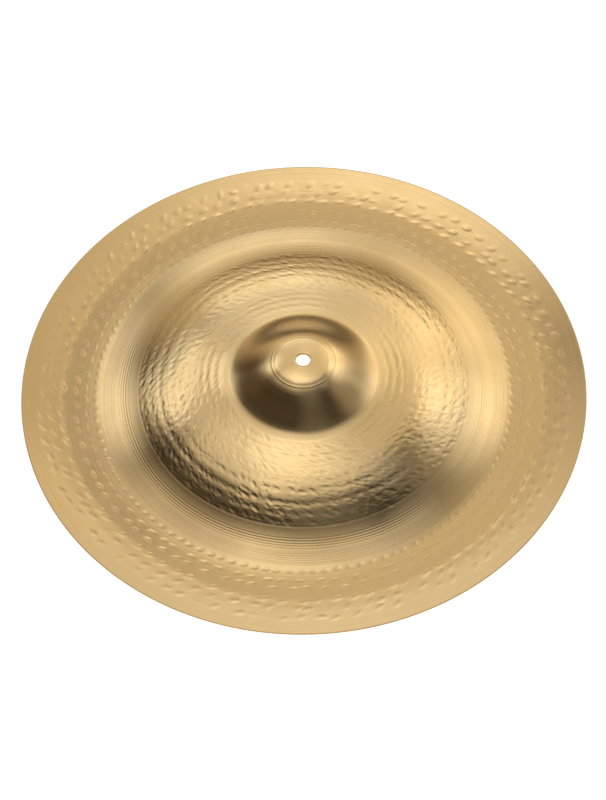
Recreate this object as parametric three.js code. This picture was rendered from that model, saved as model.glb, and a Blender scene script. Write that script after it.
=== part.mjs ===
// A china cymbal, made from one disc of bronze. From the middle outwards its upper face has a flat
// seat round the centre hole, the crown of the bell, a shoulder, the bell's steep side, a hammered bow
// that starts as a shelf and falls ever more steeply, a lathed band down to a narrow trough, and a
// flange that turns up again to the rim.
// Millimetres, +Z up. The cymbal lies on the underside of its trough with the bell up. The origin is
// under the middle of the centre hole, level with what the cymbal lies on.

import * as THREE from 'three';

// Sizes across the disc
const rimDiameter = 482.6;
const holeDiameter = 12.7;
const seatDiameter = 24;
const crownDiameter = 42;
const bellDiameter = 120;

// Widths of rings, along the radius
const shoulderWidth = 7;
const bellFilletWidth = 8;
const bowShelfWidth = 28;
const bowEdgeWidth = 22;
const lathedBandWidth = 31;
const troughWidth = 8;
const flangeFootWidth = 23;
const flangeBendWidth = 5;
const flangeWidth = 32.3;

// Drops and rises of the upper face, each from one ring to the next
const crownDrop = 0.65;
const shoulderDrop = 2.35;
const bellSideDrop = 15.5;
const bellFilletDrop = 1.95;
const bowShelfDrop = 2.95;
const bowSlopeDrop = 4.95;
const bowEdgeDrop = 6.85;
const lathedBandDrop = 6.55;
const troughDrop = 0.2;
const flangeFootRise = 2.5;
const flangeBendRise = 0.95;
const flangeRise = 8.7;

// Thickness of the metal, measured square to the upper face
const bellThickness = 1.45;
const bowThickness = 1.15;
const troughThickness = 0.95;
const rimThickness = 0.8;

// Steepness of the upper face at each ring, in degrees, falling outwards where it is negative
const crownSteepness = -8;
const shoulderSteepness = -19.5;
const bellFootSteepness = -22;
const bowTopSteepness = -7.5;
const bowShelfSteepness = -7;
const bowSlopeSteepness = -15.5;
const bowEdgeSteepness = -18.5;
const troughInnerSteepness = -6.5;
const troughOuterSteepness = 3.3;
const flangeFootSteepness = 8.6;
const flangeBendSteepness = 12.5;
const rimSteepness = 16.8;

// Counts of flat steps that stand for the curves
const turnSteps = 72;
const crownSteps = 2;
const shoulderSteps = 2;
const bellSideSteps = 6;
const bellFilletSteps = 2;
const bowShelfSteps = 2;
const bowSlopeSteps = 2;
const bowEdgeSteps = 2;
const lathedBandSteps = 4;
const troughSteps = 4;
const flangeFootSteps = 2;
const flangeBendSteps = 1;
const flangeSteps = 3;

// Rings of the upper face, inwards from the rim and outwards from the hole
const rimRadius = rimDiameter / 2;
const flangeBendRadius = rimRadius - flangeWidth;
const flangeFootRadius = flangeBendRadius - flangeBendWidth;
const troughOuterRadius = flangeFootRadius - flangeFootWidth;
const troughInnerRadius = troughOuterRadius - troughWidth;
const bowEdgeRadius = troughInnerRadius - lathedBandWidth;
const bowSlopeRadius = bowEdgeRadius - bowEdgeWidth;
const crownRadius = crownDiameter / 2;
const shoulderRadius = crownRadius + shoulderWidth;
const bellRadius = bellDiameter / 2;
const bowTopRadius = bellRadius + bellFilletWidth;
const bowShelfRadius = bowTopRadius + bowShelfWidth;

// Heights of the rings, above the outer side of the trough
const troughInnerHeight = troughDrop;
const bowEdgeHeight = troughInnerHeight + lathedBandDrop;
const bowSlopeHeight = bowEdgeHeight + bowEdgeDrop;
const bowShelfHeight = bowSlopeHeight + bowSlopeDrop;
const bowTopHeight = bowShelfHeight + bowShelfDrop;
const bellFootHeight = bowTopHeight + bellFilletDrop;
const shoulderHeight = bellFootHeight + bellSideDrop;
const crownHeight = shoulderHeight + shoulderDrop;
const seatHeight = crownHeight + crownDrop;
const flangeBendHeight = flangeFootRise + flangeBendRise;
const flangeEndHeight = flangeBendHeight + flangeRise;

const hole = ring(holeDiameter / 2, seatHeight, 0, bellThickness);
const seatEdge = ring(seatDiameter / 2, seatHeight, 0, bellThickness);
const crown = ring(crownRadius, crownHeight, crownSteepness, bellThickness);
const shoulder = ring(shoulderRadius, shoulderHeight, shoulderSteepness, bellThickness);
const bellFoot = ring(bellRadius, bellFootHeight, bellFootSteepness, bowThickness);
const bowTop = ring(bowTopRadius, bowTopHeight, bowTopSteepness, bowThickness);
const bowShelf = ring(bowShelfRadius, bowShelfHeight, bowShelfSteepness, bowThickness);
const bowSlope = ring(bowSlopeRadius, bowSlopeHeight, bowSlopeSteepness, bowThickness);
const bowEdge = ring(bowEdgeRadius, bowEdgeHeight, bowEdgeSteepness, bowThickness);
const troughInner = ring(troughInnerRadius, troughInnerHeight, troughInnerSteepness, troughThickness);
const troughOuter = ring(troughOuterRadius, 0, troughOuterSteepness, troughThickness);
const flangeFoot = ring(flangeFootRadius, flangeFootRise, flangeFootSteepness, troughThickness);
const flangeBend = ring(flangeBendRadius, flangeBendHeight, flangeBendSteepness, troughThickness);
// The upper face stops half a thickness short of the rim, where the rounded edge starts.
const flangeEnd = ring(rimRadius - rimThickness / 2, flangeEndHeight, rimSteepness, rimThickness);

function ring(radius, height, steepness, thickness) {
  const slope = Math.tan(THREE.MathUtils.degToRad(steepness));
  return { radius, height, slope, thickness };
}

// A smooth stretch of the upper face between two rings, with the slope that each ring asks for.
// Each point has its place, the metal's thickness there and the direction square to the face.
function stretch(inner, outer, steps) {
  const third = (outer.radius - inner.radius) / 3;
  const curve = new THREE.CubicBezierCurve(
    new THREE.Vector2(inner.radius, inner.height),
    new THREE.Vector2(inner.radius + third, inner.height + third * inner.slope),
    new THREE.Vector2(outer.radius - third, outer.height - third * outer.slope),
    new THREE.Vector2(outer.radius, outer.height),
  );
  const points = [];
  for (let step = 1; step <= steps; step += 1) {
    const share = step / steps;
    const along = curve.getTangent(share);
    points.push({
      place: curve.getPoint(share),
      square: new THREE.Vector2(-along.y, along.x),
      thickness: THREE.MathUtils.lerp(inner.thickness, outer.thickness, share),
    });
  }
  return points;
}

// The whole upper face, from the centre hole to the rim
function upperFace() {
  const start = {
    place: new THREE.Vector2(hole.radius, hole.height),
    square: new THREE.Vector2(0, 1),
    thickness: hole.thickness,
  };
  return [
    start,
    ...stretch(hole, seatEdge, 1),
    ...stretch(seatEdge, crown, crownSteps),
    ...stretch(crown, shoulder, shoulderSteps),
    ...stretch(shoulder, bellFoot, bellSideSteps),
    ...stretch(bellFoot, bowTop, bellFilletSteps),
    ...stretch(bowTop, bowShelf, bowShelfSteps),
    ...stretch(bowShelf, bowSlope, bowSlopeSteps),
    ...stretch(bowSlope, bowEdge, bowEdgeSteps),
    ...stretch(bowEdge, troughInner, lathedBandSteps),
    ...stretch(troughInner, troughOuter, troughSteps),
    ...stretch(troughOuter, flangeFoot, flangeFootSteps),
    ...stretch(flangeFoot, flangeBend, flangeBendSteps),
    ...stretch(flangeBend, flangeEnd, flangeSteps),
  ];
}

// The rounded edge of the rim, from its upper side to its lower side
function rimEdge(last) {
  const radius = last.thickness / 2;
  const centre = last.place.clone().addScaledVector(last.square, -radius);
  const anglesFromLevel = [45, 0, -45];
  return anglesFromLevel.map((angle) => {
    const turn = THREE.MathUtils.degToRad(angle);
    const outwards = new THREE.Vector2(Math.cos(turn), Math.sin(turn));
    return new THREE.Vector2(rimRadius - radius, centre.y).addScaledVector(outwards, radius);
  });
}

// The closed outline of the metal: the upper face outwards, round the rim, and the lower face back
function outline() {
  const upper = upperFace();
  const lower = upper.map(({ place, square, thickness }) => (
    place.clone().addScaledVector(square, -thickness)
  ));
  const upperPlaces = upper.map(({ place }) => place);
  const edge = rimEdge(upper[upper.length - 1]);
  return [...upperPlaces, ...edge, ...lower.reverse(), upperPlaces[0].clone()];
}

function makeCymbal() {
  const points = outline();
  const geometry = new THREE.LatheGeometry(points.reverse(), turnSteps);
  geometry.rotateX(Math.PI / 2);
  const bronze = new THREE.MeshStandardMaterial({
    color: 0xcda765,
    roughness: 0.3,
    metalness: 1,
  });
  const mesh = new THREE.Mesh(geometry, bronze);
  mesh.name = 'cymbal';
  // The lowest point of the underside rests on the ground.
  mesh.position.z = -Math.min(...points.map((point) => point.y));
  return mesh;
}

const chinaCymbal = new THREE.Group();
chinaCymbal.add(makeCymbal());

export default chinaCymbal;
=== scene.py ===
import math

import bpy
import numpy as np
from mathutils import Matrix, Vector


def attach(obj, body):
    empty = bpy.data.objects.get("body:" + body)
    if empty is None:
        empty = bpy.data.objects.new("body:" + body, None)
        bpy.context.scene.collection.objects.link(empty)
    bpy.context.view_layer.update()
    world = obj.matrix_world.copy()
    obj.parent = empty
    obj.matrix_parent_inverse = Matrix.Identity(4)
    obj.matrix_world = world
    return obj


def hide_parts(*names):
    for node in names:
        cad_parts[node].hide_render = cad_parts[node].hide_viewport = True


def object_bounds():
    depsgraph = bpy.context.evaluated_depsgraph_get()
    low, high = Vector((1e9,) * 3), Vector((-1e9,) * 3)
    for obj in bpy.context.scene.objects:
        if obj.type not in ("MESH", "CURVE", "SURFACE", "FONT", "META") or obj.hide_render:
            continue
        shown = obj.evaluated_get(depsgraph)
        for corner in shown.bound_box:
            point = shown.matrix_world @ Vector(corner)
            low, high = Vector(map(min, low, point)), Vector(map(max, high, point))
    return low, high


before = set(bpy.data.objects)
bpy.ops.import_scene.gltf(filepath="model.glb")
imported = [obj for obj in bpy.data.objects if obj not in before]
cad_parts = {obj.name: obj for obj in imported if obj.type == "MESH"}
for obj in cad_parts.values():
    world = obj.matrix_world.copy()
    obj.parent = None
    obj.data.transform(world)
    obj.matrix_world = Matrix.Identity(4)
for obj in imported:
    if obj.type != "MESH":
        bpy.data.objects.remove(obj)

cad_low, cad_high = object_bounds()

# Sizes are in metres, written in millimetres times MM, or in millimetres where a comment says so.
# Angles are in degrees.
MM = 0.001

# The disc. Its rim and the top of its bell follow the frame.
RIM_RADIUS = cad_high.x
SEAT_TOP = cad_high.z
HOLE_RADIUS = 6.35 * MM
SEAT_RADIUS = 12 * MM
CROWN_RADIUS = 21 * MM
SHOULDER_RADIUS = 28 * MM
BELL_RADIUS = 60 * MM
BOW_TOP_RADIUS = 68 * MM
BOW_SHELF_RADIUS = 96 * MM
BOW_SLOPE_RADIUS = 120 * MM
BOW_EDGE_RADIUS = 142 * MM
TROUGH_INNER_RADIUS = 173 * MM
TROUGH_OUTER_RADIUS = 181 * MM
FLANGE_FOOT_RADIUS = 204 * MM
FLANGE_BEND_RADIUS = 209 * MM

# Drops and rises of the upper face, each from one ring to the next
CROWN_DROP = 0.65 * MM
SHOULDER_DROP = 2.35 * MM
BELL_SIDE_DROP = 15.5 * MM
BELL_FILLET_DROP = 1.95 * MM
BOW_SHELF_DROP = 2.95 * MM
BOW_SLOPE_DROP = 4.95 * MM
BOW_EDGE_DROP = 6.85 * MM
LATHED_BAND_DROP = 6.55 * MM
TROUGH_DROP = 0.2 * MM
FLANGE_FOOT_RISE = 2.5 * MM
FLANGE_BEND_RISE = 0.95 * MM
FLANGE_RISE = 8.7 * MM

BELL_THICKNESS = 1.45 * MM
BOW_THICKNESS = 1.15 * MM
TROUGH_THICKNESS = 0.95 * MM
RIM_THICKNESS = 0.8 * MM

# Steepness of the upper face at each ring, falling outwards where it is negative
CROWN_STEEPNESS = -8
SHOULDER_STEEPNESS = -19.5
BELL_FOOT_STEEPNESS = -22
BOW_TOP_STEEPNESS = -7.5
BOW_SHELF_STEEPNESS = -7
BOW_SLOPE_STEEPNESS = -15.5
BOW_EDGE_STEEPNESS = -18.5
TROUGH_INNER_STEEPNESS = -6.5
TROUGH_OUTER_STEEPNESS = 3.3
FLANGE_FOOT_STEEPNESS = 8.6
FLANGE_BEND_STEEPNESS = 12.5
RIM_STEEPNESS = 16.8

# The mesh
TURN_STEPS = 1080
RIM_EDGE_STEPS = 8
SEED = 19

# The two faces of the plate
UPPER = 0
LOWER = 1


class Ring:
    """A ring of the upper face: radius, height, slope outwards and thickness of the metal."""

    def __init__(self, radius, height, steepness, thickness):
        self.radius = radius
        self.height = height
        self.slope = math.tan(math.radians(steepness))
        self.thickness = thickness


def make_rings():
    """The rings of the upper face, from the centre hole to where the rim's rounded edge starts."""
    crown = SEAT_TOP - CROWN_DROP
    shoulder = crown - SHOULDER_DROP
    bell_foot = shoulder - BELL_SIDE_DROP
    bow_top = bell_foot - BELL_FILLET_DROP
    bow_shelf = bow_top - BOW_SHELF_DROP
    bow_slope = bow_shelf - BOW_SLOPE_DROP
    bow_edge = bow_slope - BOW_EDGE_DROP
    trough_inner = bow_edge - LATHED_BAND_DROP
    trough_outer = trough_inner - TROUGH_DROP
    flange_foot = trough_outer + FLANGE_FOOT_RISE
    flange_bend = flange_foot + FLANGE_BEND_RISE
    flange_end = flange_bend + FLANGE_RISE
    return [
        Ring(HOLE_RADIUS, SEAT_TOP, 0, BELL_THICKNESS),
        Ring(SEAT_RADIUS, SEAT_TOP, 0, BELL_THICKNESS),
        Ring(CROWN_RADIUS, crown, CROWN_STEEPNESS, BELL_THICKNESS),
        Ring(SHOULDER_RADIUS, shoulder, SHOULDER_STEEPNESS, BELL_THICKNESS),
        Ring(BELL_RADIUS, bell_foot, BELL_FOOT_STEEPNESS, BOW_THICKNESS),
        Ring(BOW_TOP_RADIUS, bow_top, BOW_TOP_STEEPNESS, BOW_THICKNESS),
        Ring(BOW_SHELF_RADIUS, bow_shelf, BOW_SHELF_STEEPNESS, BOW_THICKNESS),
        Ring(BOW_SLOPE_RADIUS, bow_slope, BOW_SLOPE_STEEPNESS, BOW_THICKNESS),
        Ring(BOW_EDGE_RADIUS, bow_edge, BOW_EDGE_STEEPNESS, BOW_THICKNESS),
        Ring(TROUGH_INNER_RADIUS, trough_inner, TROUGH_INNER_STEEPNESS, TROUGH_THICKNESS),
        Ring(TROUGH_OUTER_RADIUS, trough_outer, TROUGH_OUTER_STEEPNESS, TROUGH_THICKNESS),
        Ring(FLANGE_FOOT_RADIUS, flange_foot, FLANGE_FOOT_STEEPNESS, TROUGH_THICKNESS),
        Ring(FLANGE_BEND_RADIUS, flange_bend, FLANGE_BEND_STEEPNESS, TROUGH_THICKNESS),
        Ring(RIM_RADIUS - RIM_THICKNESS / 2, flange_end, RIM_STEEPNESS, RIM_THICKNESS),
    ]


RINGS = make_rings()
# Spacing of the mesh's circles on the upper and on the lower face, in millimetres, for each stretch
# from one of these rings to the next
PITCHES = [
    (1.4, 2.8),
    (0.8, 1.5),
    (0.2, 1.0),
    (0.9, 1.8),
    (0.8, 1.4),
    (0.7, 1.2),
    (0.7, 1.2),
    (0.6, 1.2),
    (0.25, 0.5),
    (0.4, 0.8),
    (0.5, 1.2),
    (0.5, 1.2),
    (0.7, 1.5),
]


def face_at(radius):
    """Height, slope and thickness of the plain upper face at these radii."""
    height = np.zeros_like(radius)
    slope = np.zeros_like(radius)
    thickness = np.zeros_like(radius)
    for inner, outer in zip(RINGS[:-1], RINGS[1:]):
        here = (radius >= inner.radius) & (radius <= outer.radius)
        reach = outer.radius - inner.radius
        t = (radius[here] - inner.radius) / reach
        rise = outer.height - inner.height
        inner_pull = t - 2 * t**2 + t**3
        outer_pull = t**3 - t**2
        height[here] = (
            inner.height
            + rise * (3 * t**2 - 2 * t**3)
            + reach * (inner.slope * inner_pull + outer.slope * outer_pull)
        )
        slope[here] = (
            rise / reach * (6 * t - 6 * t**2)
            + inner.slope * (1 - 4 * t + 3 * t**2)
            + outer.slope * (3 * t**2 - 2 * t)
        )
        thickness[here] = inner.thickness + (outer.thickness - inner.thickness) * t
    return height, slope, thickness


def stations(side):
    """Radii from the hole to the rim's edge on one face, each stretch cut to about its own pitch."""
    radii = [RINGS[0].radius]
    for inner, outer, pitches in zip(RINGS[:-1], RINGS[1:], PITCHES):
        steps = max(1, math.ceil((outer.radius - inner.radius) / (pitches[side] * MM)))
        radii += list(np.linspace(inner.radius, outer.radius, steps + 1)[1:])
    return np.array(radii)


# Hammer marks are shallow ovals, and their reach is half their size. Stray is how much single marks
# differ from their kind, in place, depth and lean. A blow goes deeper on one side, which is the one
# towards the axis where its tilt is above zero. Softness 1 leaves a mark with a crisp edge, and 2 one
# that fades into the metal round it.
STRAY = 0.2
TILT = 0.5
CRISP = 1
SOFT = 1.4
# A mark's radius, as a share of its reach outwards, and its depth stray this many times as much.
RADIUS_STRAY = 1.5
DEPTH_STRAY = 1.5
# The least depth of a mark in a row and of a stray stroke, as a share of its kind's
LEAST_MARK_SHARE = 0.1
LEAST_STROKE_SHARE = 0.3

# The bow's rows of leaning dents, faint near the bell and deep towards the bow's edge: radius and
# depth in millimetres
BOW_ROWS = [
    (74.0, 0.05),
    (80.0, 0.05),
    (98.0, 0.1),
    (105.0, 0.11),
    (113.0, 0.105),
    (123.5, 0.1),
    (131.5, 0.09),
    (139.0, 0.08),
]
# What the marks of all these rows share: count, reach round and reach outwards in millimetres
BOW_MARKS = (72, 4.4, 2.1)
BOW_LEAN = 26
# Each row starts this share of the marks' spacing further round than the one inside it.
BOW_STAGGER = 0.4

# Stray strokes on the bow: count, reach round, reach outwards and depth in millimetres, lean, stray,
# tilt and softness
LONG_STROKES = (420, 8.0, 1.8, 0.08, 24, 0.12, TILT, CRISP)
SHORT_STROKES = (1500, 3.2, 1.4, 0.09, 26, STRAY, TILT, CRISP)
# Long ones start this far outside the bow's top, and short ones end this far inside its edge.
LONG_STROKE_MARGIN = 3 * MM
SHORT_STROKE_MARGIN = 2 * MM

TROUGH_MARK_COUNT = 118
FLANGE_MARK_COUNT = 88
# A dense row in the trough's bend, wider ones out to the rim, and broad faint dishes between these:
# radius in millimetres, start as a share of the spacing, count, reach round, reach outwards and depth
# in millimetres, lean, stray, tilt and softness
FLANGE_ROWS = [
    (179.0, 0.0, TROUGH_MARK_COUNT, 3.6, 2.0, 0.13, -25, 0.08, 0, CRISP),
    (188.5, 0.5, FLANGE_MARK_COUNT, 5.0, 2.2, 0.1, -20, 0.15, TILT, SOFT),
    (196.0, 0.0, FLANGE_MARK_COUNT, 5.0, 2.2, 0.12, -20, 0.15, TILT, SOFT),
    (207.5, 0.5, FLANGE_MARK_COUNT, 6.5, 3.0, 0.18, -22, 0.15, TILT, SOFT),
    (216.0, 0.0, FLANGE_MARK_COUNT, 6.0, 3.0, 0.16, -25, STRAY, TILT, SOFT),
    (225.0, 0.5, FLANGE_MARK_COUNT, 5.5, 3.0, 0.15, -28, STRAY, TILT, SOFT),
    (218.0, 0.3, FLANGE_MARK_COUNT, 8.0, 10.0, 0.035, -25, STRAY, 0, CRISP),
]


class Marks:
    """Hammer marks of one kind, with their sizes given in millimetres."""

    def __init__(self, count, reach_round, reach_out, depth, lean, stray, tilt, softness):
        self.count = count
        self.reach_round = reach_round * MM
        self.reach_out = reach_out * MM
        self.depth = depth * MM
        self.lean = math.radians(lean)
        self.stray = stray
        self.tilt = tilt
        self.softness = softness


def press(field, radii, marks, angle, radius, depth, lean):
    """Press one mark into a field of depths, where it is deeper than what is there."""
    reach = max(marks.reach_round, marks.reach_out)
    near = np.nonzero(np.abs(radii - radius) < reach)[0]
    angle_step = 2 * math.pi / TURN_STEPS
    half = int(reach / radius / angle_step) + 1
    columns = np.arange(-half, half + 1) + round(angle / angle_step)
    outwards = radii[near] - radius
    onwards = (columns * angle_step - angle) * radius
    a, b = np.meshgrid(outwards, onwards, indexing="ij")
    long_share = (b * math.cos(lean) + a * math.sin(lean)) / marks.reach_round
    short_share = (a * math.cos(lean) - b * math.sin(lean)) / marks.reach_out
    bowl = np.maximum(1 - long_share**2 - short_share**2, 0) ** marks.softness
    dish = -depth * bowl * (1 - marks.tilt * short_share)
    place = np.ix_(near, columns % TURN_STEPS)
    field[place] = np.minimum(field[place], dish)


def press_row(field, radii, row_radius, start, marks, draw):
    """Press a row of marks right round, the first of them this share of their spacing from +X."""
    spacing = 2 * math.pi / marks.count
    for index in range(marks.count):
        angle = (index + start + marks.stray * draw.standard_normal()) * spacing
        radius = row_radius + RADIUS_STRAY * marks.stray * marks.reach_out * draw.standard_normal()
        share = 1 + DEPTH_STRAY * marks.stray * draw.standard_normal()
        depth = marks.depth * max(LEAST_MARK_SHARE, share)
        lean = marks.lean + marks.stray * draw.standard_normal()
        press(field, radii, marks, angle, radius, depth, lean)


def scatter(field, radii, strokes, inner, outer, draw):
    """Press stray strokes between two radii."""
    for _ in range(strokes.count):
        angle = draw.uniform(0, 2 * math.pi)
        depth = strokes.depth * draw.uniform(LEAST_STROKE_SHARE, 1)
        lean = strokes.lean + strokes.stray * draw.standard_normal()
        radius = draw.uniform(inner, outer)
        press(field, radii, strokes, angle, radius, depth, lean)


def hammer_field(radii):
    """Rise of the hammer marks on a grid of these radii and TURN_STEPS angles."""
    draw = np.random.default_rng(SEED)
    dents = np.zeros((len(radii), TURN_STEPS))
    for index, (radius, depth) in enumerate(BOW_ROWS):
        marks = Marks(*BOW_MARKS, depth, BOW_LEAN, STRAY, TILT, CRISP)
        press_row(dents, radii, radius * MM, BOW_STAGGER * index, marks, draw)
    inner = BOW_TOP_RADIUS + LONG_STROKE_MARGIN
    scatter(dents, radii, Marks(*LONG_STROKES), inner, BOW_SHELF_RADIUS, draw)
    outer = BOW_EDGE_RADIUS - SHORT_STROKE_MARGIN
    scatter(dents, radii, Marks(*SHORT_STROKES), BOW_SHELF_RADIUS, outer, draw)
    for radius, start, *kind in FLANGE_ROWS:
        press_row(dents, radii, radius * MM, start, Marks(*kind), draw)
    return dents


# Bands of lathe grooves: inner and outer radius, pitch and depth in millimetres, and the share of the
# dark colour in the grooves
GROOVE_BANDS = [
    (163.3, 172.4, 1.82, 0.025, 0.15),
    (183.0, 187.8, 1.6, 0.018, 0.15),
    (210.0, 218.0, 2.0, 0.012, 0.15),
    (229.0, 239.4, 2.6, 0.006, 0.08),
]
# A higher power makes these grooves narrower for their pitch.
GROOVE_POWER = 3
# Single turned lines: radius, half width and depth in millimetres, and the share of the dark colour in
# the line. A depth below zero makes a raised bead.
LINES = [
    (21.0, 0.3, 0.04, 0.1),
    (24.8, 0.35, 0.02, 0.0),
    (26.6, 0.7, -0.09, 0.0),
    (72.5, 1.8, 0.07, 0.0),
    (79.5, 2.2, 0.1, 0.0),
    (86.0, 2.0, 0.08, 0.0),
    (92.0, 0.6, 0.03, 0.05),
    (113.0, 2.6, 0.05, 0.0),
    (123.5, 2.8, 0.08, 0.0),
    (131.5, 2.2, 0.02, 0.0),
    (139.0, 2.0, 0.03, 0.0),
    (141.6, 1.0, 0.05, 0.15),
    (151.4, 0.5, 0.035, 0.08),
    (153.5, 0.5, 0.06, 0.15),
    (155.6, 0.5, 0.05, 0.12),
    (157.7, 0.5, 0.04, 0.1),
    (159.8, 0.5, 0.025, 0.05),
    (188.2, 0.5, 0.02, 0.12),
]


def lathe_field(radii):
    """Rise and darkening of the grooves and lines that the lathe left, one of each for each radius."""
    rise = np.zeros_like(radii)
    darkening = np.zeros_like(radii)
    for inner, outer, pitch, depth, dark_share in GROOVE_BANDS:
        here = (radii > inner * MM) & (radii < outer * MM)
        turns = (radii[here] / MM - inner) / pitch
        cut = ((1 - np.cos(2 * math.pi * turns)) / 2) ** GROOVE_POWER
        rise[here] -= depth * MM * cut
        darkening[here] += dark_share * cut
    for radius, half_width, depth, dark_share in LINES:
        cut = np.exp(-(((radii / MM - radius) / half_width) ** 2))
        rise -= depth * MM * cut
        darkening += dark_share * cut
    return rise[:, None], darkening[:, None]


def build_mesh(name, rows_of_points, slots):
    """A closed mesh from rings of points, each ring joined to the next and the last to the first."""
    rings, steps = rows_of_points.shape[:2]
    mesh = bpy.data.meshes.new(name)
    ring = np.arange(rings)[:, None]
    column = np.arange(steps)[None, :]
    next_ring = (ring + 1) % rings
    next_column = (column + 1) % steps
    corners = np.stack(
        np.broadcast_arrays(
            ring * steps + column,
            next_ring * steps + column,
            next_ring * steps + next_column,
            ring * steps + next_column,
        ),
        axis=-1,
    ).reshape(-1, 4)
    mesh.vertices.add(rings * steps)
    mesh.vertices.foreach_set("co", rows_of_points.astype(np.float32).ravel())
    mesh.loops.add(corners.size)
    mesh.loops.foreach_set("vertex_index", corners.astype(np.int32).ravel())
    mesh.polygons.add(len(corners))
    mesh.polygons.foreach_set("loop_start", np.arange(0, corners.size, 4, dtype=np.int32))
    mesh.polygons.foreach_set("use_smooth", np.ones(len(corners), dtype=bool))
    mesh.polygons.foreach_set("material_index", np.repeat(slots, steps).astype(np.int32))
    mesh.update(calc_edges=True)
    mesh.validate()
    obj = bpy.data.objects.new(name, mesh)
    bpy.context.scene.collection.objects.link(obj)
    return obj


def ring_points(radius, height):
    """Points round the axis at these radii and heights, one row for each."""
    angle = np.arange(TURN_STEPS) * 2 * math.pi / TURN_STEPS
    return np.stack(np.broadcast_arrays(radius * np.cos(angle), radius * np.sin(angle), height), -1)


# A dent this deep gets this share of the full dark colour, as painted shade in its hollow.
DENT_FULL = 0.12 * MM
DENT_PAINTED_SHADE = 0.07


def surface(radii, side):
    """The upper or the lower face: its points and their darkening, which in the dents is painted shade.
    """
    height, slope, thickness = face_at(radii)
    size = np.sqrt(1 + slope**2)
    out_part = (-slope / size)[:, None]
    up_part = (1 / size)[:, None]
    dents = hammer_field(radii)
    cuts, darkening = lathe_field(radii)
    # A dent goes through the metal, and a lathe cut goes into the face that it is on.
    shift = dents + cuts * (1 - 2 * side) - side * thickness[:, None]
    z = np.maximum(height[:, None] + shift * up_part, cad_low.z)
    points = ring_points(radii[:, None] + shift * out_part, z)
    # Painted shade in the dents, darker in deeper ones, on top of the darkening of grooves and lines.
    return points, darkening + DENT_PAINTED_SHADE * np.clip(dents / -DENT_FULL, 0, 1)


def rim_edge():
    """Rings of points round the rounded edge of the rim."""
    height, slope, thickness = face_at(np.array([RINGS[-1].radius]))
    half = thickness[0] / 2
    centre_z = height[0] - half * math.cos(math.atan(slope[0]))
    turns = np.linspace(math.pi / 2, -math.pi / 2, RIM_EDGE_STEPS + 2)[1:-1, None]
    return ring_points(RIM_RADIUS - half + half * np.cos(turns), centre_z + half * np.sin(turns))


# Colours of the metal
BRIGHT_BRONZE = (0.985, 0.67, 0.297, 1)
DEEP_BRONZE = (0.985, 0.655, 0.283, 1)
WARM_BRONZE = (0.94, 0.62, 0.252, 1)
# The dark colour that the darkening mixes in: in the grooves and turned lines, and as painted shade in
# the hammer dents
DARK_BRONZE = (0.3, 0.17, 0.06, 1)
# Painted shade on the rim's edge and on the wall of the hole
EDGE_PAINTED_SHADE = (0.18, 0.134, 0.067, 1)

# Finishes by zone: name, outer radius, roughness, anisotropy, share of the full grain and colour
ZONES = [
    ("bronze_crown", CROWN_RADIUS, 0.24, 0.8, 1.0, BRIGHT_BRONZE),
    ("bronze_shoulder", SHOULDER_RADIUS, 0.25, 0.6, 0.7, BRIGHT_BRONZE),
    ("bronze_bell", BELL_RADIUS, 0.22, 0.0, 0.35, DEEP_BRONZE),
    ("bronze_fillet", BOW_TOP_RADIUS, 0.28, 0.0, 0.35, BRIGHT_BRONZE),
    ("bronze_bow", BOW_EDGE_RADIUS, 0.18, 0.2, 1.0, BRIGHT_BRONZE),
    ("bronze_lathed", TROUGH_OUTER_RADIUS, 0.21, 0.6, 1.0, BRIGHT_BRONZE),
    ("bronze_flange", RIM_RADIUS, 0.18, 0.2, 1.0, DEEP_BRONZE),
]
# The rim's edge and the wall of the hole: the same, without a radius, in a dark colour that is painted
# shade
PAINTED_SHADE_EDGE = ("bronze_edge_painted_shade", 0.42, 0.0, 1.0, EDGE_PAINTED_SHADE)
EDGE_SLOT = len(ZONES)
# The lower face's circles run inwards, and a strip takes the zone just inside its outer circle.
ZONE_INSET = 0.5 * MM


def zone_of(radii):
    """The number of the zone at each radius. A radius on a border is in the zone outside it."""
    return np.searchsorted([zone[1] for zone in ZONES[:-1]], radii, side="right")


def make_cymbal():
    """The plate: its upper face outwards, the rim's edge, and its lower face back to the hole."""
    upper_radii = stations(UPPER)
    lower_radii = stations(LOWER)
    upper, upper_darkening = surface(upper_radii, UPPER)
    lower, lower_darkening = surface(lower_radii, LOWER)
    points = np.concatenate([upper, rim_edge(), lower[::-1]])
    # The rim's edge and the wall of the hole take the edge material, whose colour is painted shade.
    edge_slots = np.full(RIM_EDGE_STEPS, EDGE_SLOT)
    lower_slots = zone_of(lower_radii[::-1] - ZONE_INSET)
    # The last circle's strip is the wall of the hole.
    lower_slots[-1] = EDGE_SLOT
    slots = np.concatenate([zone_of(upper_radii), edge_slots, lower_slots])
    obj = build_mesh("cymbal_plate", points, slots)
    edge_darkening = np.zeros((RIM_EDGE_STEPS, TURN_STEPS))
    darkening = np.concatenate([upper_darkening, edge_darkening, lower_darkening[::-1]])
    # The darkening goes with the points: darker in the grooves and turned lines, with painted shade in
    # the dents, and none on the rim's edge.
    attribute = obj.data.attributes.new("darkening", "FLOAT", "POINT")
    attribute.data.foreach_set("value", darkening.astype(np.float32).ravel())
    return obj


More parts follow.
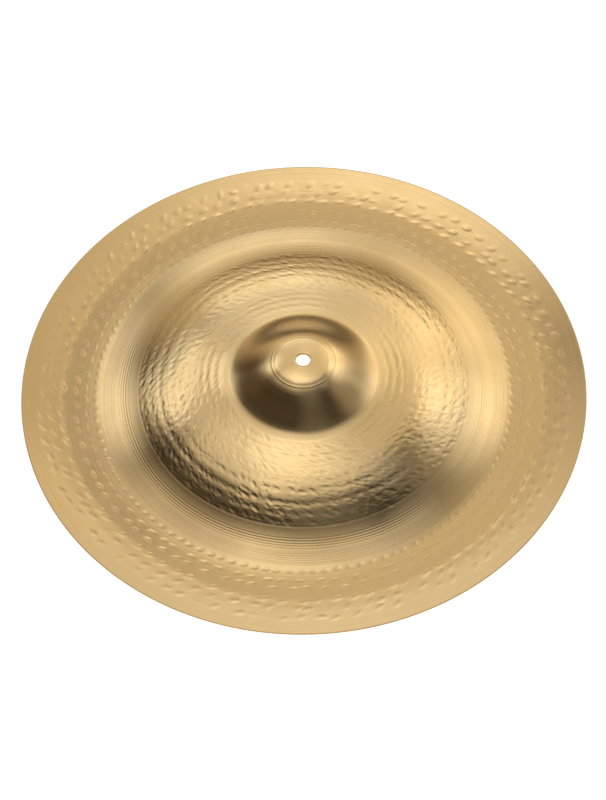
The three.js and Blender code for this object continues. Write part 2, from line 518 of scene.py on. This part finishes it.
class Nodes:
    """Empties a node tree, then adds nodes to it and links them."""

    def __init__(self, tree):
        self.tree = tree
        tree.nodes.clear()

    def add(self, kind, inputs=None, **settings):
        node = self.tree.nodes.new(kind)
        for key, value in settings.items():
            setattr(node, key, value)
        for key, value in (inputs or {}).items():
            self.put(node.inputs[key], value)
        return node

    def put(self, socket, value):
        """Link an output to this socket, or set a plain value on it."""
        if isinstance(value, bpy.types.NodeSocket):
            self.tree.links.new(value, socket)
        else:
            socket.default_value = value

    def calculate(self, operation, a, b=0.0):
        return self.add("ShaderNodeMath", {0: a, 1: b}, operation=operation).outputs[0]

    def noise(self, dimensions, inputs):
        node = self.add("ShaderNodeTexNoise", inputs, noise_dimensions=dimensions)
        return node.outputs["Fac"]

    def between(self, value, low, high, low_result, high_result, **settings):
        """A value from one range turned into another, held at its ends."""
        inputs = {
            "Value": value,
            "From Min": low,
            "From Max": high,
            "To Min": low_result,
            "To Max": high_result,
        }
        return self.add("ShaderNodeMapRange", inputs, **settings).outputs[0]

    def fade(self, value, full, none):
        """1 up to one value and 0 from the other on, soft between them."""
        return self.between(value, full, none, 1.0, 0.0, interpolation_type="SMOOTHSTEP")

    def mix(self, share, a, b):
        """Colour a, with this share of colour b."""
        return self.add("ShaderNodeMix", {"Factor": share, 6: a, 7: b}, data_type="RGBA").outputs[2]

    def ramp(self, value, stops):
        """A grey value that runs straight between these stops of (position, value)."""
        node = self.add("ShaderNodeValToRGB", {"Fac": value})
        elements = node.color_ramp.elements
        for index, (position, level) in enumerate(stops):
            element = elements[index] if index < len(elements) else elements.new(position)
            element.position = position
            element.color = (level, level, level, 1)
        return node.outputs[0]


# The share of the metal's full brightness by radius in millimetres: full at the crown, least in the
# trough
BRIGHTNESS_BY_RADIUS = [
    (0, 1.0),
    (22, 1.0),
    (34, 0.89),
    (60, 0.89),
    (66, 0.84),
    (158, 0.84),
    (176, 0.75),
    (184, 0.875),
    (206, 0.89),
    (225, 0.83),
    (240, 0.8),
]
# Noise over the radius, for rings and fine lines, and over the place, for patches and mottling
RING_NOISE = {"Scale": 420, "Detail": 3}
LINE_NOISE = {"Scale": 1900, "Detail": 2}
PATCH_NOISE = {"Scale": 26, "Detail": 3}
MOTTLE_NOISE = {"Scale": 240, "Detail": 2}
# Tone and gloss drift together. These are the shares that rings and patches have in the drift.
RING_DRIFT_SHARE = 0.4
PATCH_DRIFT_SHARE = 0.6
# The range of the drift over which the tone turns, and how much of the warm tone it then has
TONE_DRIFT = (0.35, 0.65)
WARM_SHARE = 0.8
# The range of the drift over which the roughness changes, by this much either way
GLOSS_DRIFT = (0.3, 0.7)
GLOSS_SPREAD = 0.03
DARKENING_ROUGHNESS = 0.12
GRAIN_DEPTH = 0.02 * MM
GRAIN_LINE_SHARE = 0.35
# The turn of the streaks in the gloss, as a share of a full turn
STREAK_TURN = 0.25


def bronze(name, roughness, anisotropy, grain, colour):
    """Turned bronze: tone and gloss drift in patches and in rings, and fine turned lines catch light."""
    material = bpy.data.materials.new(name)
    material.use_nodes = True
    nodes = Nodes(material.node_tree)
    place = nodes.add("ShaderNodeTexCoord").outputs["Object"]
    flat = nodes.add("ShaderNodeVectorMath", {0: place, 1: (1, 1, 0)}, operation="MULTIPLY").outputs[0]
    radius = nodes.add("ShaderNodeVectorMath", {0: flat}, operation="LENGTH").outputs["Value"]
    rings = nodes.noise("1D", {"W": radius, **RING_NOISE})
    lines = nodes.noise("1D", {"W": radius, **LINE_NOISE})
    patches = nodes.noise("3D", {"Vector": place, **PATCH_NOISE})
    mottle = nodes.noise("3D", {"Vector": place, **MOTTLE_NOISE})
    ring_drift = nodes.calculate("MULTIPLY", rings, RING_DRIFT_SHARE)
    patch_drift = nodes.calculate("MULTIPLY", patches, PATCH_DRIFT_SHARE)
    drift = nodes.calculate("ADD", ring_drift, patch_drift)
    warmth = nodes.between(drift, *TONE_DRIFT, 0.0, WARM_SHARE)
    tone = nodes.mix(warmth, colour, WARM_BRONZE)
    brightness_stops = [(edge * MM / RIM_RADIUS, share) for edge, share in BRIGHTNESS_BY_RADIUS]
    brightness_share = nodes.ramp(nodes.calculate("MULTIPLY", radius, 1 / RIM_RADIUS), brightness_stops)
    tone = nodes.add("ShaderNodeVectorMath", {0: tone, "Scale": brightness_share}, operation="SCALE").outputs[0]
    # The darkening mixes in the dark colour: in the grooves and turned lines, and as painted shade in
    # the hammer dents.
    darkening = nodes.add("ShaderNodeAttribute", attribute_name="darkening").outputs["Fac"]
    tone = nodes.mix(darkening, tone, DARK_BRONZE)
    gloss = nodes.between(drift, *GLOSS_DRIFT, roughness - GLOSS_SPREAD, roughness + GLOSS_SPREAD)
    dulling = nodes.calculate("MULTIPLY", darkening, DARKENING_ROUGHNESS)
    gloss = nodes.calculate("ADD", gloss, dulling)
    relief = nodes.calculate("ADD", nodes.calculate("MULTIPLY", lines, GRAIN_LINE_SHARE), mottle)
    bump_inputs = {"Height": relief, "Strength": 1.0, "Distance": grain * GRAIN_DEPTH}
    bump = nodes.add("ShaderNodeBump", bump_inputs)
    shader = nodes.add("ShaderNodeBsdfPrincipled", {"Base Color": tone, "Roughness": gloss})
    shader.inputs["Metallic"].default_value = 1
    shader.inputs["Anisotropic"].default_value = anisotropy
    shader.inputs["Anisotropic Rotation"].default_value = STREAK_TURN
    tangent = nodes.add("ShaderNodeTangent", direction_type="RADIAL", axis="Z")
    nodes.put(shader.inputs["Tangent"], tangent.outputs[0])
    nodes.put(shader.inputs["Normal"], bump.outputs[0])
    nodes.add("ShaderNodeOutputMaterial", {"Surface": shader.outputs[0]})
    return material


# Camera: the photograph's view. The point that it looks at is in millimetres.
CAMERA_DISTANCE = 1500 * MM
CAMERA_ELEVATION = 56.105
CAMERA_ROLL = -1.297
CAMERA_LENS = 79.39
SENSOR_WIDTH = 36
LOOK_AT = (-0.77, -20.71, 13.03)


def make_camera():
    data = bpy.data.cameras.new("camera")
    data.sensor_width = SENSOR_WIDTH
    data.lens = CAMERA_LENS
    camera = bpy.data.objects.new("camera", data)
    bpy.context.scene.collection.objects.link(camera)
    elevation = math.radians(CAMERA_ELEVATION)
    back = Vector((0, -math.cos(elevation), math.sin(elevation)))
    level = Vector((1, 0, 0))
    up = back.cross(level)
    turn = math.radians(CAMERA_ROLL)
    right = math.cos(turn) * level + math.sin(turn) * up
    up = math.cos(turn) * up - math.sin(turn) * level
    place = Vector(LOOK_AT) * MM + CAMERA_DISTANCE * back
    camera.matrix_world = Matrix(
        (
            (right.x, up.x, back.x, place.x),
            (right.y, up.y, back.y, place.y),
            (right.z, up.z, back.z, place.z),
            (0, 0, 0, 1),
        )
    )
    bpy.context.scene.camera = camera


WHITE = (1, 1, 1, 1)
BLACK = (0, 0, 0, 1)

# The studio's lamps are flat panels that face the disc. Each has its name, its azimuth, which grows
# from +X to +Y, its elevation, half its width and half its height as seen from the disc, the share of
# that over which its edges fade, its level in the middle and its tint.
COOL = (0.88, 1, 1.24)
PLAIN = (0.965, 1, 1.07)
MILD = (1, 0.98, 0.88)
WARM = (1, 0.88, 0.68)
PANELS = [
    ("overhead_left", 135, 71, 20.5, 20, 0.55, 0.73, PLAIN),
    ("overhead_right", 73, 71, 17.5, 21, 0.4, 0.34, PLAIN),
    ("overhead_back", 55, 75, 27, 8, 0.5, 0.44, COOL),
    ("overhead_near", 279, 89, 15.5, 9, 0.5, 0.5, PLAIN),
    ("overhead_wide", 211, 89, 34, 15, 0.4, 0.12, COOL),
    ("right_wall", 18, 50, 29.5, 13.5, 0.6, 0.28, PLAIN),
    ("right_upper", 64, 56, 20.5, 15, 0.3, 0.34, MILD),
    ("right_box", 29, 43, 13, 15, 0.45, 0.64, COOL),
    ("right_back_box", 55, 38, 26.5, 19.5, 0.55, 0.68, PLAIN),
    ("right_low", 56, 29, 20, 25, 1, 0.74, MILD),
    ("left_box", 132, 42.5, 15, 13.5, 0.4, 0.76, COOL),
    ("back", 96, 31.5, 21.5, 16.5, 0.8, 0.98, COOL),
    ("back_upper", 119, 48, 31, 10, 0.7, 0.7, PLAIN),
    ("back_low", 99, 22, 37, 16.5, 0.6, 0.46, MILD),
    ("front", 252, 21, 42, 35, 0.3, 0.75, WARM),
]
PANEL_DISTANCE = 1000 * MM
# The point that they face, in millimetres
PANEL_AIM = (0, 0, 20)


def add_panel(name, azimuth, elevation, half_width, half_height, fade, level, tint):
    data = bpy.data.lights.new(name, "AREA")
    data.shape = "RECTANGLE"
    data.size = 2 * PANEL_DISTANCE * math.tan(math.radians(half_width))
    data.size_y = 2 * PANEL_DISTANCE * math.tan(math.radians(half_height))
    # A flat lamp gives off its level times pi for each square metre.
    data.energy = level * math.pi * data.size * data.size_y
    data.color = tint
    data.use_nodes = True
    nodes = Nodes(data.node_tree)
    geometry = nodes.add("ShaderNodeNewGeometry")
    across = nodes.add("ShaderNodeSeparateXYZ", {0: geometry.outputs["Parametric"]})
    strength = 1.0
    # Places on the panel run from 0 to 1, so its edges are a half away from its middle.
    half = 0.5
    for side in "XY":
        place = nodes.calculate("SUBTRACT", across.outputs[side], half)
        off_middle = nodes.calculate("ABSOLUTE", place)
        faded = nodes.fade(off_middle, half * (1 - fade), half)
        strength = nodes.calculate("MULTIPLY", faded, strength)
    glow = nodes.add("ShaderNodeEmission", {"Color": WHITE, "Strength": strength})
    nodes.add("ShaderNodeOutputLight", {"Surface": glow.outputs[0]})
    lamp = bpy.data.objects.new(name, data)
    around = math.radians(azimuth)
    up = math.radians(elevation)
    outwards = Vector((math.cos(up) * math.cos(around), math.cos(up) * math.sin(around), math.sin(up)))
    lamp.location = Vector(PANEL_AIM) * MM + PANEL_DISTANCE * outwards
    lamp.rotation_euler = (math.pi / 2 - up, 0, around + math.pi / 2)
    lamp.visible_camera = False
    bpy.context.scene.collection.objects.link(lamp)


FLOOR_SIZE = 60000 * MM
FLOOR_GAP = 0.05 * MM
FLOOR_GREY = (0.5, 0.5, 0.5, 1)
# The floor glows a little more away from the disc, where less light falls on it.
NEAR_FLOOR = 500 * MM
FAR_FLOOR = 850 * MM
NEAR_FLOOR_GLOW = 0.88


def make_floor():
    bpy.ops.mesh.primitive_plane_add(size=FLOOR_SIZE, location=(0, 0, -FLOOR_GAP))
    floor = bpy.context.object
    floor.name = "floor"
    material = bpy.data.materials.new("floor")
    material.use_nodes = True
    nodes = Nodes(material.node_tree)
    diffuse = nodes.add("ShaderNodeBsdfDiffuse", {"Color": FLOOR_GREY})
    place = nodes.add("ShaderNodeTexCoord").outputs["Object"]
    distance = nodes.add("ShaderNodeVectorMath", {0: place}, operation="LENGTH").outputs["Value"]
    level = nodes.between(distance, NEAR_FLOOR, FAR_FLOOR, NEAR_FLOOR_GLOW, 1.0)
    glow = nodes.add("ShaderNodeEmission", {"Color": WHITE, "Strength": level})
    # The camera and reflections see the glow, and it lights nothing else.
    paths = nodes.add("ShaderNodeLightPath").outputs
    seen = nodes.calculate("MAXIMUM", paths["Is Camera Ray"], paths["Is Glossy Ray"])
    seen = nodes.calculate("MAXIMUM", seen, paths["Is Transmission Ray"])
    none = nodes.add("ShaderNodeEmission", {"Color": BLACK, "Strength": 0.0})
    shown = nodes.add("ShaderNodeMixShader", {0: seen, 1: none.outputs[0], 2: glow.outputs[0]})
    both = nodes.add("ShaderNodeAddShader", {0: diffuse.outputs[0], 1: shown.outputs[0]})
    nodes.add("ShaderNodeOutputMaterial", {"Surface": both.outputs[0]})
    floor.data.materials.append(material)


FLAG_DISTANCE = 1000 * MM
FLAG_HEIGHT = 95 * MM
# The flag is a square plane of this size, scaled to its width and height.
FLAG_PLANE = 1000 * MM
FLAG_SCALE = (2.4, 0.19, 1)
FLAG_COLOUR = (0.01, 0.01, 0.01, 1)
FLAG_ROUGHNESS = 0.9


def make_flag():
    """A dark card low behind the disc, which keeps the bright horizon off the back of the bell."""
    bpy.ops.mesh.primitive_plane_add(size=FLAG_PLANE, location=(0, FLAG_DISTANCE, FLAG_HEIGHT))
    flag = bpy.context.object
    flag.name = "low_flag"
    flag.scale = FLAG_SCALE
    flag.rotation_euler = (math.pi / 2, 0, 0)
    flag.visible_camera = False
    material = bpy.data.materials.new("flag")
    material.use_nodes = True
    shader = material.node_tree.nodes["Principled BSDF"]
    shader.inputs["Base Color"].default_value = FLAG_COLOUR
    shader.inputs["Roughness"].default_value = FLAG_ROUGHNESS
    flag.data.materials.append(material)


# The room's level by the sine of the elevation, behind the disc and in front of it. Both are pale low
# down, like the floor, and dark overhead, and the front stays pale further up.
BACK_LEVELS = [(0.0, 0.7), (0.08, 0.15), (0.3, 0.05), (0.6, 0.02), (1.0, 0.01)]
BACK_TINT = (1, 0.55, 0.2, 1)
FRONT_LEVELS = [(0.0, 1.0), (0.35, 0.9), (0.62, 0.04), (1.0, 0.01)]
FRONT_TINT = (1, 0.85, 0.65, 1)
# The front turns into the back between these places along Y, on a sphere of radius 1.
ROOM_SPLIT = (0.15, 0.35)


def make_world():
    world = bpy.data.worlds.new("studio")
    bpy.context.scene.world = world
    world.use_nodes = True
    nodes = Nodes(world.node_tree)
    direction = nodes.add("ShaderNodeTexCoord").outputs["Generated"]
    parts = nodes.add("ShaderNodeSeparateXYZ", {0: direction}).outputs
    back_level = nodes.ramp(parts["Z"], BACK_LEVELS)
    behind = nodes.add("ShaderNodeBackground", {"Color": BACK_TINT, "Strength": back_level})
    front_level = nodes.ramp(parts["Z"], FRONT_LEVELS)
    before = nodes.add("ShaderNodeBackground", {"Color": FRONT_TINT, "Strength": front_level})
    forward = nodes.fade(parts["Y"], *ROOM_SPLIT)
    room = nodes.add("ShaderNodeMixShader", {0: forward, 1: behind.outputs[0], 2: before.outputs[0]})
    backdrop = nodes.add("ShaderNodeBackground", {"Color": WHITE, "Strength": 1.0})
    seen = nodes.add("ShaderNodeLightPath").outputs["Is Camera Ray"]
    shown = nodes.add("ShaderNodeMixShader", {0: seen, 1: room.outputs[0], 2: backdrop.outputs[0]})
    nodes.add("ShaderNodeOutputWorld", {"Surface": shown.outputs[0]})


make_camera()
plate = make_cymbal()
for name, _, roughness, anisotropy, grain, colour in ZONES:
    plate.data.materials.append(bronze(name, roughness, anisotropy, grain, colour))
plate.data.materials.append(bronze(*PAINTED_SHADE_EDGE))
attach(plate, "root")
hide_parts("cymbal")
make_floor()
make_flag()
make_world()
for panel in PANELS:
    add_panel(*panel)

scene = bpy.context.scene
scene.view_settings.view_transform = "Standard"
